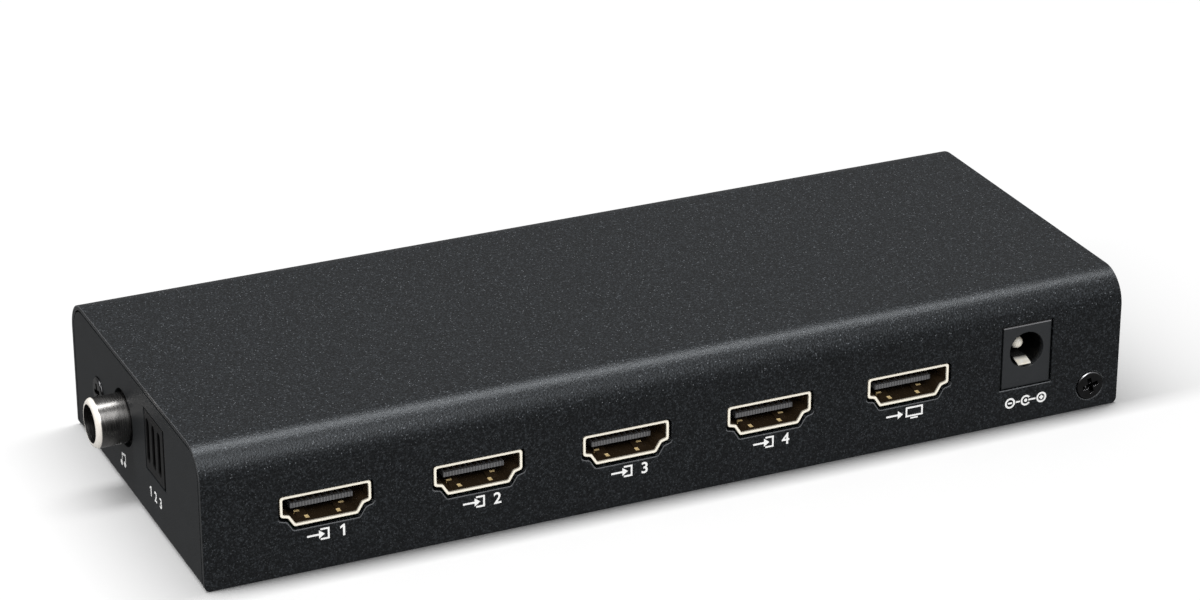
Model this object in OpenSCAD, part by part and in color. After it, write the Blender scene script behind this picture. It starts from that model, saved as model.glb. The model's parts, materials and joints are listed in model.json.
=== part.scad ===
// Four-input HDMI switch box: a folded sheet-metal case round one circuit board.
// The controls face -Y, the sockets face +Y and the audio end faces +X.
// The origin is the middle of the case's underside, and all sizes are in millimetres.

/* [Case] */
// Length of the case between its two ends
case_l = 162; // [156:1:200]
// Depth of the case from front to rear
case_d = 64.5; // [62:0.5:90]
// Height of the case
case_h = 23.5; // [22.5:0.5:35]
// Sheet thickness of the folded cover
cover_t = 0.8; // [0.6:0.1:1]
// Sheet thickness of the chassis
chassis_t = 1; // [0.8:0.1:1.2]
// Outer radius of the cover's two top bends
bend_r = 5.5; // [3:0.5:7]
// Rounding of the lower corners of the cover's walls
wall_corner_r = 1; // [0.5:0.1:2]
// Inner radius of the chassis folds
fold_r = 0.3; // [0.2:0.1:1]
// Seam between the cover and the chassis
seam = 0.3; // [0.2:0.05:0.4]

/* [Case screws] */
// Distance of the cover screws from the ends of the case
screw_end = 5.4; // [5:0.1:6.5]
// Height of the cover screws above the underside
screw_z = 4.3; // [3.8:0.1:4.6]
// Diameter of a countersunk head
head_d = 4.9; // [4.4:0.1:5.2]
// Height of the countersunk cone
head_cone_h = 0.9; // [0.7:0.1:1]
// Rise of the head over the sheet
head_rise = 0.35; // [0.3:0.05:0.5]
// Rounding of the head's rim
head_r = 0.3; // [0.1:0.05:0.3]
// Shank diameter
shank_d = 2.5; // [2:0.1:2.8]
// Length of a cover screw below its rim
cover_screw_len = 3.8; // [3:0.1:4]
// Length of the audio jack's screw below its rim
audio_screw_len = 5; // [4:0.5:6]
// Width of a cross recess's slots
cross_w = 0.8; // [0.5:0.05:0.9]
// Length of a cross recess's slots
cross_l = 2.9; // [2:0.1:3]
// Turn of a cross recess
cross_turn = 14; // [0:1:45]
// Depth of a cross recess
cross_h = 0.9; // [0.6:0.1:1]
// Room round a screw in its hole
screw_room = 0.2; // [0.1:0.05:0.25]
// Width of a screw tab on the chassis
tab_w = 8; // [6:0.5:9]
// Height of a screw tab's top above the underside
tab_top = 7.5; // [7:0.5:10]

/* [Board] */
// Height of the standoffs
standoff_h = 4; // [3.5:0.25:4.5]
// Diameter of the standoffs
standoff_d = 5; // [4.5:0.5:6]
// Thickness of the circuit board
board_t = 1.6; // [1:0.2:2]
// Distance of the board's long edges from the case's front and rear
board_edge_y = 4.75; // [4.5:0.25:5.5]
// Distance of the board's short edges from the ends of the case
board_edge_x = 4; // [3:0.5:5]
// Distance of the standoffs from the board's edges
standoff_inset = 5.2; // [4:0.2:5.4]
// Head diameter of the board screws
board_head_d = 4.6; // [4:0.2:5]
// Head height of the board screws
board_head_h = 1.7; // [1.2:0.1:2]

/* [HDMI sockets] */
// Distance of the first input's middle from the audio end
hdmi_first = 20.2; // [19:0.1:22]
// Distance of the output's middle from the DC jack's middle
dc_from_out = 22.2; // [20:0.1:24]
// Width of the metal shell
hdmi_w = 15; // [14.6:0.1:15.4]
// Height of the metal shell
hdmi_h = 5.4; // [5.3:0.1:5.7]
// Wall of the metal shell
hdmi_wall = 0.45; // [0.3:0.05:0.5]
// Length of the metal shell
hdmi_depth = 11; // [10:0.5:12]
// Height of the shell's upright sides
hdmi_side = 3.5; // [3.3:0.1:3.7]
// Width of the ledge under each side
hdmi_ledge = 1.25; // [1.1:0.05:1.4]
// Drop of the ledge towards the middle
hdmi_ledge_drop = 0.3; // [0:0.05:0.4]
// Width of the slope between ledge and floor
hdmi_slope = 1; // [0.9:0.05:1.2]
// Rounding of the shell's corners
hdmi_r = 0.55; // [0.5:0.05:0.6]
// Height of the shell's floor over the board
hdmi_lift = 1.5; // [1.3:0.05:1.9]
// Distance of the shell's rim behind the case's rear face
hdmi_inset = 0.3; // [0.2:0.1:0.6]
// Gap round the shell in the rear wall
hdmi_gap = 0.35; // [0.3:0.05:0.5]
// Drop of the socket's cut-out under the shell's middle
hdmi_drop = 0.15; // [0:0.05:0.2]
// Width of the tongue
tongue_w = 10.3; // [10:0.1:11]
// Thickness of the tongue
tongue_t = 0.8; // [0.7:0.1:1.2]
// Rise of the tongue's middle over the shell's middle
tongue_rise = -0.15; // [-0.3:0.05:0.3]
// Distance of the tongue's tip behind the shell's rim
tongue_inset = 2; // [1.6:0.1:2.4]
// Spacing of the contacts
contact_pitch = 1; // [0.9:0.05:1.05]
// Width of a contact
contact_w = 0.45; // [0.3:0.05:0.6]
// Thickness of a contact
contact_t = 0.12; // [0.1:0.01:0.2]
// Width of a shell's spring finger
finger_w = 1.8; // [1.4:0.1:2.2]
// Distance of the spring fingers from the shell's middle
finger_x = 3.2; // [2.6:0.1:3.6]
// Rise of a spring finger into the socket
finger_rise = 0.6; // [0.4:0.05:0.75]

/* [DC jack] */
// Distance of the DC jack's middle from the plain end
dc_end = 17.8; // [17:0.1:19]
// Width of the DC jack
dc_w = 9; // [8.6:0.1:9.4]
// Height of the DC jack
dc_h = 11.1; // [10.8:0.1:11.8]
// Depth of the DC jack
dc_depth = 14.2; // [13:0.2:16]
// Depth of the DC jack's full-height front
dc_front = 3.4; // [3:0.1:4]
// Diameter of the DC jack's bore
dc_bore_d = 6.4; // [6:0.1:6.6]
// Depth of the DC jack's bore
dc_bore_depth = 9.8; // [9:0.1:10.5]
// Height of the DC jack's axis over the board
dc_axis = 6.5; // [6.2:0.1:6.8]
// Diameter of the DC jack's centre pin
dc_pin_d = 2.1; // [2:0.1:2.5]
// Diameter of the pin's shoulder in the back of the DC jack
dc_shoulder_d = 2.8; // [2.6:0.1:3]
// Distance of the pin's tip behind the DC jack's face
dc_pin_inset = 2.4; // [2:0.1:3]
// Distance of the DC jack's face behind the case's rear face
dc_inset = 0.3; // [0.2:0.1:0.5]
// Gap over and beside the DC jack in the rear wall
dc_gap = 0.4; // [0.3:0.05:0.5]
// Shift of the DC jack's cut-out towards the audio end
dc_hole_shift = 0.15; // [0:0.05:0.2]
// Gap under the DC jack in the rear wall
dc_under_gap = 0.1; // [0.05:0.05:0.3]
// Width of the DC jack behind its front
dc_rear_w = 7.8; // [7.4:0.1:8.2]
// Width of the sleeve spring
dc_spring_w = 2.4; // [2:0.1:2.8]
// Bow of the sleeve spring towards the pin
dc_spring_bow = 0.6; // [0.3:0.05:0.7]

/* [Audio jack] */
// Place of the audio jack from front to rear
audio_y = -5.85; // [-7:0.05:-5]
// Height of the audio jack's axis over the board
audio_axis = 6.3; // [6:0.1:7]
// Outer diameter of the audio barrel
barrel_d = 8.3; // [8:0.1:8.6]
// Wall of the audio barrel
barrel_wall = 1.05; // [0.9:0.05:1.1]
// Rounding of the barrel's rim
barrel_rim_r = 0.9; // [0.6:0.05:0.9]
// Length of the barrel outside the case
barrel_out = 5.6; // [5:0.1:9]
// Depth of the hollow in front of the barrel's insulator
barrel_hollow = 3; // [2.5:0.1:4]
// Length of the barrel held in the housing
barrel_held = 5; // [4:0.5:6]
// Step of the barrel's held end under its outer diameter
barrel_step = 0.25; // [0.15:0.05:0.3]
// Bore of the centre contact
centre_bore_d = 3.3; // [3.2:0.05:3.5]
// Wall of the centre contact
centre_wall = 0.3; // [0.2:0.05:0.4]
// Distance of the centre contact behind the insulator's face
centre_inset = 0.4; // [0.2:0.1:0.8]
// Gap round the barrel in the end plate
barrel_gap = 0.7; // [0.5:0.05:0.8]
// Width of the audio housing
audio_w = 11.6; // [11:0.2:12.4]
// Depth of the audio housing
audio_depth = 10; // [9:0.5:11]
// Height of the audio housing
audio_h = 12; // [11.5:0.1:13]
// Distance of the housing's screw from the audio axis
audio_screw_y = 12.9; // [12:0.1:13.5]
// Height of the housing's screw under the audio axis
audio_screw_drop = 1.1; // [1:0.1:2]
// Diameter of the boss round the housing's screw
audio_boss_d = 6.4; // [6:0.1:7]

/* [Selector switch] */
// Place of the selector switch from front to rear
dip_y = 9.9; // [9:0.1:11]
// Width of the selector switch's face
dip_w = 8.7; // [8.5:0.1:9.2]
// Height of the selector switch's face
dip_h = 10.2; // [9.8:0.1:10.6]
// Depth of the selector switch
dip_depth = 5.8; // [5.5:0.1:6.5]
// Height of the face's lower edge over the board
dip_lift = 2.7; // [2.2:0.1:3]
// Distance of the face behind the end plate's outer side
dip_inset = 0.05; // [0:0.05:0.4]
// Gap under, over and in front of the face in the end plate
dip_gap = 0.3; // [0.25:0.05:0.4]
// Gap behind the face in the end plate
dip_rear_gap = 0.9; // [0.6:0.1:1.2]
// Spacing of the levers
lever_pitch = 2.75; // [2.6:0.05:2.8]
// Shift of the levers towards the front
lever_shift = 0.4; // [0:0.1:0.5]
// Width of a lever's slot
slot_w = 1.5; // [1.3:0.05:1.6]
// Height of a lever's slot
slot_h = 7.8; // [7.4:0.1:8]
// Depth of a lever's slot
slot_depth = 2.6; // [2.4:0.1:3]
// Thickness of the face in front of the levers' carriages
slot_skin = 0.8; // [0.6:0.1:0.9]
// Travel of a lever
lever_travel = 2.6; // [2.2:0.1:2.8]
// Height of a lever's nub
lever_nub_h = 1.8; // [1.4:0.1:2.2]
// Distance of a nub's top behind the face
lever_inset = 0.4; // [0.3:0.05:0.6]
// Room round a lever in its slot
lever_room = 0.2; // [0.15:0.01:0.25]

/* [Front panel] */
// Place of the remote-control window along the front
ir_x = -48.75; // [-52:0.05:-45]
// Width of the remote-control window
ir_w = 5.7; // [5.2:0.1:6.2]
// Height of the remote-control window
ir_h = 8; // [7.4:0.1:8.4]
// Corner radius of the remote-control window
ir_r = 2.3; // [1:0.1:2.5]
// Height of the window's middle over the board
ir_axis = 4.6; // [4.3:0.1:5]
// Width of the receiver's shield
shield_w = 6.2; // [6:0.1:7]
// Depth of the receiver's shield
shield_depth = 4.4; // [4:0.1:5]
// Height of the receiver's shield
shield_h = 8.8; // [8.4:0.1:9.4]
// Sheet thickness of the shield
shield_t = 0.3; // [0.2:0.05:0.4]
// Distance of the shield behind the case's front face
shield_inset = 3.4; // [3:0.1:4]
// Diameter of the shield's lens hole
lens_hole_d = 4.8; // [4.4:0.1:5.2]
// Rise of the lens over the window's middle
lens_rise = 0.6; // [0.3:0.1:0.8]
// Width of the bars across the lens hole
lens_bar_w = 0.55; // [0.4:0.05:0.7]
// Place of the power light along the front
power_led_x = -28.6; // [-31:0.1:-27]
// Place of the fourth input's light along the front
first_led_x = -17.3; // [-19:0.1:-16]
// Spacing of the input lights
led_pitch = 9.9; // [8:0.1:10]
// Diameter of the light holes
led_hole_d = 2.4; // [2:0.1:2.8]
// Diameter of a light
led_d = 3; // [2.8:0.1:3.2]
// Height of the lights over the board
led_axis = 2.45; // [2.3:0.05:2.8]
// Distance of a light's tip behind the front wall
led_room = 0.4; // [0.3:0.1:0.8]
// Width of a light holder
led_holder_w = 4.4; // [4:0.1:5]
// Depth of a light holder
led_holder_depth = 4.5; // [4:0.1:5]
// Place of the select button along the front
select_x = 33.5; // [31:0.1:36]
// Height of the select button over the board
select_axis = 3.15; // [3:0.05:3.4]
// Diameter of the select button
select_d = 4.3; // [4:0.1:4.6]
// Gap round the select button
select_gap = 0.35; // [0.3:0.05:0.45]
// Length of the button that stands proud
select_proud = 0.8; // [0.6:0.1:1.2]
// Rounding of the button's rim
select_round = 0.25; // [0.15:0.05:0.4]
// Travel of the select button
select_travel = 0.3; // [0.2:0.05:0.4]
// Width of the push switch
tact_w = 6; // [5.6:0.1:6.4]
// Depth of the push switch
tact_depth = 4.3; // [4:0.1:5]
// Height of the push switch
tact_h = 6.4; // [6:0.1:7]
// Diameter of the push switch's plunger
plunger_d = 3; // [2.6:0.1:3.2]
// Distance that the plunger stands out of the push switch
plunger_out = 2; // [1.8:0.1:2.4]
// Distance that the plunger reaches into the push switch
plunger_in = 1.2; // [1:0.1:1.5]
// Distance of the push switch behind the board's front edge
tact_setback = 0.2; // [0:0.1:0.5]
// Room left behind the button and the plunger at full travel
stop_room = 0.3; // [0.2:0.05:0.4]

/* [Board parts] */
// Side of the video switching chip
switch_chip_w = 14; // [12:0.5:16]
// Height of the chips
chip_h = 1.5; // [1.2:0.1:1.8]
// Length of the control chip
control_chip_l = 9.9; // [9:0.1:11]
// Length of the audio chip
audio_chip_l = 6.5; // [6:0.1:8]
// Length of the power regulator
regulator_l = 6.5; // [6:0.1:7]
// Width of the smaller chips and the regulator
small_chip_w = 3.9; // [3.5:0.1:4.5]
// Side of the power inductor
inductor_w = 7; // [6:0.5:8]
// Height of the power inductor
inductor_h = 4; // [3:0.5:5]
// Diameter of the smoothing capacitors
capacitor_d = 5; // [4:0.5:6]
// Height of the smoothing capacitors
capacitor_h = 5.4; // [5:0.2:7]
// Length of the crystal's can
crystal_l = 11; // [10:0.5:12]
// Width of the crystal's can
crystal_w = 4.6; // [4:0.2:5]
// Height of the crystal's can
crystal_h = 3.5; // [3:0.1:4]

/* [Hidden] */
$fn = 64;

// Colours
cover_colour = "#1f2022";
chassis_colour = "#3b3c3e";
black_colour = "#17181a";
grey_colour = "#55575b";
gold_colour = "#d9c592";
nickel_colour = "#b9bbbd";
board_colour = "#14412c";
light_colour = "#4a4d52";

// Shared clearances
// Overshoot of a cut past the face it opens
over = 1;
// Radial room of a pressed fit
press_room = 0.02;
// Radial room of a plunger in its guide
guide_room = 0.1;
// Number of chords in a rounded corner
corner_steps = 6;

// Case faces and levels
front_y = -case_d / 2;
rear_y = case_d / 2;
audio_end_x = case_l / 2;
plain_end_x = -case_l / 2;
plate_x = audio_end_x - chassis_t;
chassis_half_d = case_d / 2 - cover_t - seam;
chassis_top = case_h - cover_t - seam;
chassis_corner_r = bend_r - cover_t - seam;
board_under = chassis_t + standoff_h;
board_top = board_under + board_t;
board_l = case_l - 2 * board_edge_x;
board_d = case_d - 2 * board_edge_y;
standoff_x = board_l / 2 - standoff_inset;
standoff_y = board_d / 2 - standoff_inset;
screw_x = case_l / 2 - screw_end;

// Socket places
port_count = 5;
hdmi_pitch = (case_l - hdmi_first - dc_end - dc_from_out) / (port_count - 1);
hdmi_z = board_top + hdmi_lift + hdmi_h / 2;
hdmi_rim_y = rear_y - hdmi_inset;
hdmi_plug_len = 2.4;
hdmi_foot_t = 2;
hdmi_leg_l = 1.6;
hdmi_leg_edge = 0.6;
contact_back = 0.5;
contact_rows = [10, 9];
dc_x = plain_end_x + dc_end;
dc_z = board_top + dc_axis;
dc_face_y = rear_y - dc_inset;
audio_z = board_top + audio_axis;
audio_screw_z = audio_z - audio_screw_drop;
dip_face_x = audio_end_x - dip_inset;
dip_low = board_top + dip_lift;
slot_low = dip_low + (dip_h - slot_h) / 2;
lever_h = slot_h - lever_travel - 2 * lever_room;
lever_carriage_depth = 1;
centre_hole_d = centre_bore_d + 2 * centre_wall + 2 * press_room;
barrel_held_d = barrel_d - 2 * barrel_step;
barrel_bore_d = barrel_d - 2 * barrel_wall;

// Front places
ir_z = board_top + ir_axis;
shield_y = front_y + shield_inset;
led_z = board_top + led_axis;
led_tip_y = front_y + cover_t + led_room;
holder_y = front_y + board_edge_y;
select_z = board_top + select_axis;
holder_wall = 0.6;
light_back = 0.5;
lens_z = ir_axis + lens_rise;
receiver_lift = 1;
tact_y = front_y + board_edge_y + tact_setback;
button_back_y = tact_y - select_travel - stop_room;

// Places of the board's other parts
switch_chip_at = [-6, 4];
control_chip_at = [18, -10];
audio_chip_at = [audio_end_x - 29, -8];
regulator_at = [plain_end_x + 35, -2];
inductor_at = [plain_end_x + 35, -14];
capacitors_at = [[plain_end_x + 23, 4], [plain_end_x + 23, -6], [audio_end_x - 41, 6]];
crystal_at = [2, -14];

// Points round a fillet of radius r at b, between the edges to a and to c
function fillet(a, b, c, r) =
    let (
        u = (a - b) / norm(a - b),
        v = (c - b) / norm(c - b),
        half = acos(u * v) / 2,
        middle = b + (u + v) / norm(u + v) * r / sin(half),
        from = b + u * r / tan(half) - middle,
        to = b + v * r / tan(half) - middle,
        start = atan2(from.y, from.x),
        sweep = (atan2(to.y, to.x) - start + 540) % 360 - 180
    )
    [for (i = [0:corner_steps])
        let (angle = start + sweep * i / corner_steps)
        middle + r * [cos(angle), sin(angle)]];

// A closed outline with every corner rounded
function rounded(points, r) =
    let (n = len(points))
    [for (i = [0:n - 1]) each fillet(points[(i + n - 1) % n], points[i], points[(i + 1) % n], r)];

// The outward side of the edge from a to b in an outline that runs clockwise
function outward(a, b) = [a.y - b.y, b.x - a.x] / norm(b - a);

// A closed clockwise outline, grown by g on every side
function grown(points, g) =
    let (n = len(points))
    [for (i = [0:n - 1])
        let (
            before = outward(points[(i + n - 1) % n], points[i]),
            after = outward(points[i], points[(i + 1) % n])
        )
        points[i] + g * (before + after) / (1 + before * after)];

// The socket's D outline about its middle, grown by g on every side
function socket_outline(g) =
    let (
        top = hdmi_h / 2,
        side_x = hdmi_w / 2,
        side_low = top - hdmi_side,
        ledge_x = side_x - hdmi_ledge,
        ledge_low = side_low - hdmi_ledge_drop,
        floor_x = ledge_x - hdmi_slope
    )
    grown([
        [-side_x, top], [side_x, top], [side_x, side_low], [ledge_x, ledge_low],
        [floor_x, -top], [-floor_x, -top], [-ledge_x, ledge_low], [-side_x, side_low]
    ], g);

function hdmi_x(port) = audio_end_x - hdmi_first - port * hdmi_pitch;
function led_x(input) = first_led_x + (4 - input) * led_pitch;
function lever_y(lever) = dip_y - lever_shift + (lever - 2) * lever_pitch;

// A flat outline set upright, X across and Z up, running from y = 0 towards -Y
module upright(length) {
    rotate([90, 0, 0]) linear_extrude(length) children();
}

// A flat outline set across the case, Y across and Z up, centred along X
module across(length) {
    rotate([90, 0, 90]) linear_extrude(length, center = true) children();
}

// A rod along Y from y = 0 towards -Y
module rod_y(d, length) {
    rotate([90, 0, 0]) cylinder(d = d, h = length);
}

// A rod along X from x = 0 towards +X
module rod_x(d, length) {
    rotate([0, 90, 0]) cylinder(d = d, h = length);
}

// A box by its lowest corner in Y and Z, centred in X
module slab(w, depth, h) {
    translate([-w / 2, 0, 0]) cube([w, depth, h]);
}

// Section of the case from front to rear, with its two top corners rounded
module case_section(half_d, low, top, r) {
    translate([-half_d, low]) square([2 * half_d, top - r - low]);
    translate([-half_d + r, low]) square([2 * (half_d - r), top - low]);
    for (side = [-1, 1]) translate([side * (half_d - r), top - r]) circle(r);
}

// Rounds off the lower corners of both walls
module lower_corner_cut() {
    for (turn = [0, 180]) rotate(turn)
        translate([audio_end_x - wall_corner_r, 0, wall_corner_r]) difference() {
            translate([0, -case_d, -wall_corner_r - over])
                cube([wall_corner_r + over, 2 * case_d, wall_corner_r + over]);
            translate([0, case_d + over, 0]) rod_y(2 * wall_corner_r, 2 * (case_d + over));
        }
}

// Places of the cover screws, with +Z turned out of the case
module at_cover_screws() {
    for (side = [-1, 1]) translate([side * screw_x, front_y, screw_z]) rotate([90, 0, 0]) children();
    translate([-screw_x, rear_y, screw_z]) rotate([-90, 0, 0]) children();
}

// Place of the audio jack's screw, with +Z turned out of the case
module at_audio_screw() {
    translate([audio_end_x, audio_y - audio_screw_y, audio_screw_z]) rotate([0, 90, 0]) children();
}

// Countersunk screw with its rim at z = 0, its low head over it and its shank towards -Z
module countersunk_screw(length) {
    difference() {
        union() {
            translate([0, 0, -head_cone_h])
                cylinder(d1 = shank_d, d2 = head_d, h = head_cone_h);
            translate([0, 0, -length]) cylinder(d = shank_d, h = length);
            rotate_extrude() {
                square([head_d / 2 - head_r, head_rise]);
                square([head_d / 2, head_rise - head_r]);
                translate([head_d / 2 - head_r, head_rise - head_r]) intersection() {
                    circle(head_r);
                    square(head_r);
                }
            }
        }
        translate([0, 0, head_rise]) rotate(cross_turn) cross_recess();
    }
}

// Cross recess sunk from z = 0: two slots over a small cone
module cross_recess() {
    for (turn = [0, 90]) rotate(turn)
        translate([-cross_l / 2, -cross_w / 2, -cross_h]) cube([cross_l, cross_w, cross_h + over]);
    translate([0, 0, -cross_h]) cylinder(d1 = cross_w, d2 = 2 * cross_w, h = cross_h + over);
}

// Countersunk hole that the screw above drops into
module screw_hole(length) {
    translate([0, 0, -head_cone_h])
        cylinder(d1 = shank_d + 2 * screw_room, d2 = head_d + 2 * screw_room, h = head_cone_h);
    cylinder(d = head_d + 2 * screw_room, h = over);
    translate([0, 0, -length - screw_room]) cylinder(d = shank_d + 2 * screw_room, h = length);
}

// Window with round corners, centred on the origin
module round_window(w, h, r) {
    square([w, h - 2 * r], center = true);
    square([w - 2 * r, h], center = true);
    for (x = [-1, 1], z = [-1, 1]) translate([x * (w / 2 - r), z * (h / 2 - r)]) circle(r);
}

module wrap_cover() {
    color(cover_colour) difference() {
        across(case_l) difference() {
            case_section(case_d / 2, 0, case_h, bend_r);
            case_section(case_d / 2 - cover_t, -over, case_h - cover_t, bend_r - cover_t);
        }
        lower_corner_cut();
        at_cover_screws() screw_hole(cover_screw_len);
        rear_cutouts();
        front_cutouts();
    }
}

module rear_cutouts() {
    for (port = [0:port_count - 1]) translate([hdmi_x(port), rear_y + over, hdmi_z - hdmi_drop])
        upright(cover_t + 2 * over) polygon(rounded(socket_outline(hdmi_gap), hdmi_r));
    translate([dc_x + dc_hole_shift, rear_y - cover_t - over, board_top - dc_under_gap])
        slab(dc_w + 2 * dc_gap, cover_t + 2 * over, dc_h + dc_under_gap + dc_gap);
}

module front_cutouts() {
    wall = cover_t + 2 * over;
    inside_y = front_y + cover_t + over;
    translate([ir_x, inside_y, ir_z]) upright(wall) round_window(ir_w, ir_h, ir_r);
    translate([power_led_x, inside_y, led_z]) rod_y(led_hole_d, wall);
    for (input = [1:4]) translate([led_x(input), inside_y, led_z]) rod_y(led_hole_d, wall);
    translate([select_x, inside_y, select_z]) rod_y(select_d + 2 * select_gap, wall);
}

// Section of the chassis along its length: a tray with round folds
module tray_section(half_l, low, r) {
    translate([-half_l, low + r]) square([2 * half_l, case_h]);
    translate([-half_l + r, low]) square([2 * (half_l - r), case_h]);
    for (side = [-1, 1]) translate([side * (half_l - r), low + r]) circle(r);
}

module base_chassis() {
    color(chassis_colour) difference() {
        union() {
            intersection() {
                translate([0, case_d / 2, 0]) upright(case_d) difference() {
                    tray_section(case_l / 2, 0, fold_r + chassis_t);
                    tray_section(case_l / 2 - chassis_t, chassis_t, fold_r);
                }
                across(case_l + 2 * over)
                    case_section(chassis_half_d, -over, chassis_top, chassis_corner_r);
            }
            for (side = [-1, 1]) translate([side * screw_x, -chassis_half_d, 0]) screw_tab();
            translate([-screw_x, chassis_half_d - chassis_t, 0]) screw_tab();
        }
        at_cover_screws() screw_hole(cover_screw_len);
        at_audio_screw() screw_hole(audio_screw_len);
        translate([plate_x - over, audio_y, audio_z])
            rod_x(barrel_d + 2 * barrel_gap, chassis_t + 2 * over);
        translate([plate_x - over, dip_y - dip_w / 2 - dip_gap, dip_low - dip_gap])
            cube([chassis_t + 2 * over, dip_w + dip_gap + dip_rear_gap, dip_h + 2 * dip_gap]);
    }
}

// Upright tab that a cover screw bites into, standing on the tray's floor
module screw_tab() {
    translate([0, 0, chassis_t / 2]) slab(tab_w, chassis_t, tab_top - chassis_t / 2);
}

module cover_screws() {
    color(black_colour) at_cover_screws() countersunk_screw(cover_screw_len);
}

module audio_jack_screw() {
    color(black_colour) at_audio_screw() countersunk_screw(audio_screw_len);
}

// The four corners where the board is held
module at_standoffs() {
    for (x = [-1, 1], y = [-1, 1]) translate([x * standoff_x, y * standoff_y, 0]) children();
}

module main_board() {
    color(board_colour) difference() {
        translate([-board_l / 2, -board_d / 2, board_under]) cube([board_l, board_d, board_t]);
        at_standoffs() translate([0, 0, board_under - over])
            cylinder(d = shank_d + 2 * screw_room, h = board_t + 2 * over);
    }
}

module board_standoffs() {
    color(nickel_colour) at_standoffs() translate([0, 0, chassis_t]) difference() {
        cylinder(d = standoff_d, h = standoff_h);
        translate([0, 0, chassis_t / 2]) cylinder(d = shank_d + 2 * press_room, h = standoff_h);
    }
}

module board_screws() {
    color(nickel_colour) at_standoffs() translate([0, 0, board_top]) difference() {
        union() {
            cylinder(d = board_head_d, h = board_head_h);
            translate([0, 0, -board_t - standoff_h / 2])
                cylinder(d = shank_d, h = board_t + standoff_h / 2);
        }
        translate([0, 0, board_head_h]) cross_recess();
    }
}

// Middle of a socket's rim
module at_port(port) {
    translate([hdmi_x(port), hdmi_rim_y, hdmi_z]) children();
}

// Spring finger that rises from the shell's floor, bent in its middle
module shell_finger() {
    floor_z = -hdmi_h / 2 + hdmi_wall;
    root = 1.2;
    crest = 4.2;
    tail = 6.4;
    leaf = 0.25;
    bend = 2;
    from = [-root, floor_z - leaf / 2];
    top = [-crest, floor_z + finger_rise];
    to = [-tail, floor_z + leaf];
    across(finger_w) polygon([from, each fillet(from, top, to, bend), to, [-tail, floor_z - leaf / 2]]);
}

module hdmi_shell(port) {
    leg_h = hdmi_lift + hdmi_h - hdmi_side + hdmi_r;
    board_edge = board_edge_y - hdmi_inset;
    color(gold_colour) at_port(port) {
        difference() {
            upright(hdmi_depth) polygon(rounded(socket_outline(0), hdmi_r));
            translate([0, over, 0]) upright(hdmi_depth + 2 * over)
                polygon(rounded(socket_outline(-hdmi_wall), hdmi_r - hdmi_wall / 2));
        }
        for (side = [-1, 1], y = [board_edge + hdmi_leg_edge, hdmi_depth - hdmi_leg_l])
            translate([side * (hdmi_w - hdmi_wall) / 2, -y - hdmi_leg_l, -hdmi_h / 2 - hdmi_lift])
                slab(hdmi_wall, hdmi_leg_l, leg_h);
        for (side = [-1, 1]) translate([side * finger_x, 0, 0]) shell_finger();
        for (side = [-1, 1]) translate([side * finger_x, 0, 0]) mirror([0, 0, 1]) shell_finger();
    }
}

module hdmi_insulator(port) {
    tongue_l = hdmi_depth - hdmi_plug_len - tongue_inset;
    color(black_colour) at_port(port) {
        translate([0, hdmi_plug_len - hdmi_depth, 0]) upright(hdmi_plug_len)
            polygon(rounded(socket_outline(-hdmi_wall - press_room), hdmi_r - hdmi_wall / 2));
        translate([0, -tongue_inset - tongue_l - hdmi_plug_len / 2, tongue_rise - tongue_t / 2])
            slab(tongue_w, tongue_l + hdmi_plug_len / 2, tongue_t);
        translate([0, -hdmi_depth - hdmi_foot_t, -hdmi_h / 2 - hdmi_lift])
            slab(hdmi_w - 2 * hdmi_wall, hdmi_foot_t, hdmi_lift + hdmi_h - hdmi_wall);
        translate([0, -hdmi_depth - hdmi_foot_t / 2, tongue_rise - tongue_t / 2])
            slab(tongue_w, hdmi_foot_t / 2 + hdmi_plug_len / 2, tongue_t);
    }
}

module hdmi_contacts(port) {
    length = hdmi_depth - hdmi_plug_len - tongue_inset - contact_back;
    color(gold_colour) at_port(port)
        for (row = [0, 1], i = [0:contact_rows[row] - 1])
            translate([
                (i - (contact_rows[row] - 1) / 2) * contact_pitch,
                -tongue_inset - contact_back - length,
                tongue_rise + (row == 0 ? tongue_t / 2 : -tongue_t / 2 - contact_t)
            ]) slab(contact_w, length, contact_t);
}

module dc_jack_housing() {
    color(grey_colour) translate([dc_x, dc_face_y, dc_z]) difference() {
        union() {
            translate([0, -dc_front, -dc_axis]) slab(dc_w, dc_front, dc_h);
            translate([0, -dc_depth, -dc_axis]) slab(dc_rear_w, dc_depth - dc_front / 2, dc_axis);
            translate([0, -dc_front / 2, 0]) rod_y(dc_rear_w, dc_depth - dc_front / 2);
        }
        translate([0, over, 0]) rod_y(dc_bore_d, dc_bore_depth + over);
        rod_y(dc_shoulder_d + 2 * press_room, dc_depth + over);
    }
}

module dc_jack_pin() {
    lug_t = 0.6;
    lug_w = 2.4;
    color(nickel_colour) translate([dc_x, dc_face_y, dc_z]) {
        translate([0, -dc_pin_inset - dc_pin_d / 2, 0]) {
            sphere(d = dc_pin_d);
            rod_y(dc_pin_d, dc_depth - dc_pin_inset - dc_pin_d / 2);
        }
        translate([0, -dc_bore_depth, 0]) rod_y(dc_shoulder_d, dc_depth - dc_bore_depth + lug_t / 2);
        translate([0, -dc_depth - lug_t, -dc_axis]) slab(lug_w, lug_t, dc_axis + dc_shoulder_d / 2);
    }
}

// Leaf on the floor of the bore, bowed towards the centre pin
module dc_jack_spring() {
    leaf = 0.25;
    bow = dc_spring_bow;
    seat_z = -sqrt(pow(dc_bore_d / 2, 2) - pow(dc_spring_w / 2, 2)) + press_room;
    front = 0.5;
    middle = 2.4;
    back = dc_bore_depth - press_room;
    color(nickel_colour) translate([dc_x, dc_face_y, dc_z]) across(dc_spring_w) polygon([
        [-front, seat_z], [-front, seat_z + leaf], [-middle, seat_z + leaf + bow],
        [-back, seat_z + leaf], [-back, seat_z], [-middle, seat_z + bow]
    ]);
}

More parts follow.
